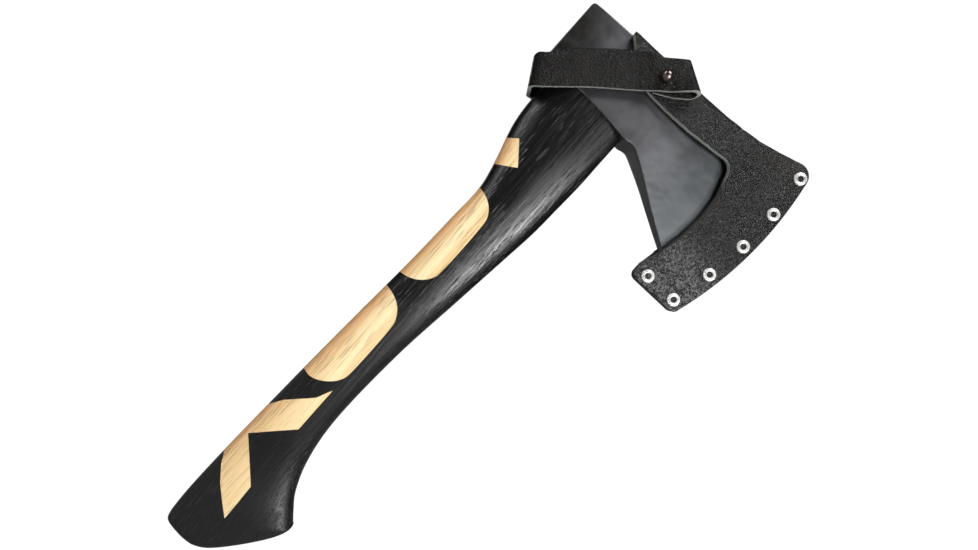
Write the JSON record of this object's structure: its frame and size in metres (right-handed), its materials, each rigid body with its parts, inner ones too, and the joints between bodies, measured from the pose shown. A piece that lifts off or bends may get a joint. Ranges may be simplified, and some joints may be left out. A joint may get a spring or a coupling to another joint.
{
  "type": "felling axe",
  "caption": "One-hand axe with a black-stained curved wooden handle and a leather sheath with an eyeleted edge and a buttoned strap.",
  "frame": {"origin": "centre of the eye on the plane of the head's underside, where the handle enters the head and where two rack pegs carry the head", "axes": "+Z along the handle towards the head's top, +X towards the cutting edge, Y across the thickness with the buttoned front of the strap on -Y"},
  "size_m": [0.1895, 0.0483, 0.442],
  "materials": {
    "head_steel": "satin, oil-darkened forging",
    "stained_wood": "black stain with open grain",
    "wedge_wood": "bare",
    "leather": "black, pebbled grain, raw edges",
    "nickel": "polished",
    "dark_nickel": "polished, darkened"
  },
  "bodies": {
    "axe": {"axe_head": "head_steel", "handle": "stained_wood", "kerf_wedge": "wedge_wood", "ring_wedge": "head_steel"},
    "sheath": {"sheath_cover": "leather", "sheath_welt": "leather", "eyelet_1": "nickel", "eyelet_2": "nickel", "eyelet_3": "nickel", "eyelet_4": "nickel", "eyelet_5": "nickel", "eyelet_6": "nickel", "eyelet_washer_1": "nickel", "eyelet_washer_2": "nickel", "eyelet_washer_3": "nickel", "eyelet_washer_4": "nickel", "eyelet_washer_5": "nickel", "eyelet_washer_6": "nickel", "ball_stud": "dark_nickel", "stud_screw": "dark_nickel", "strap_rivet_cap": "dark_nickel", "strap_rivet_post": "dark_nickel"},
    "strap_loop": {"strap_back_run": "leather"},
    "strap_flap": {"strap_front_run": "leather"}
  },
  "joints": [
    {"name": "sheath_slide", "type": "slide", "parent": "axe", "child": "sheath", "axis": [1, 0, 0], "range_m": [0, 0.145], "deforming": ["strap_back_run", "strap_front_run"]},
    {"name": "strap_swing", "type": "hinge", "parent": "sheath", "child": "strap_loop", "pos_m": [0.025, 0, 0.0377], "axis": [0, 1, 0], "range_deg": [0, 121], "deforming": ["strap_back_run", "strap_front_run"]},
    {"name": "strap_open", "type": "hinge", "parent": "strap_loop", "child": "strap_flap", "pos_m": [-0.03406, -0.0184, -0.005], "axis": [0.5107, 0, -0.8597], "range_deg": [0, 140], "deforming": ["strap_front_run"]}
  ],
  "couplings": [
    {"joint": "strap_swing", "follows": "sheath_slide", "rad_per_m": 14.444}
  ]
}
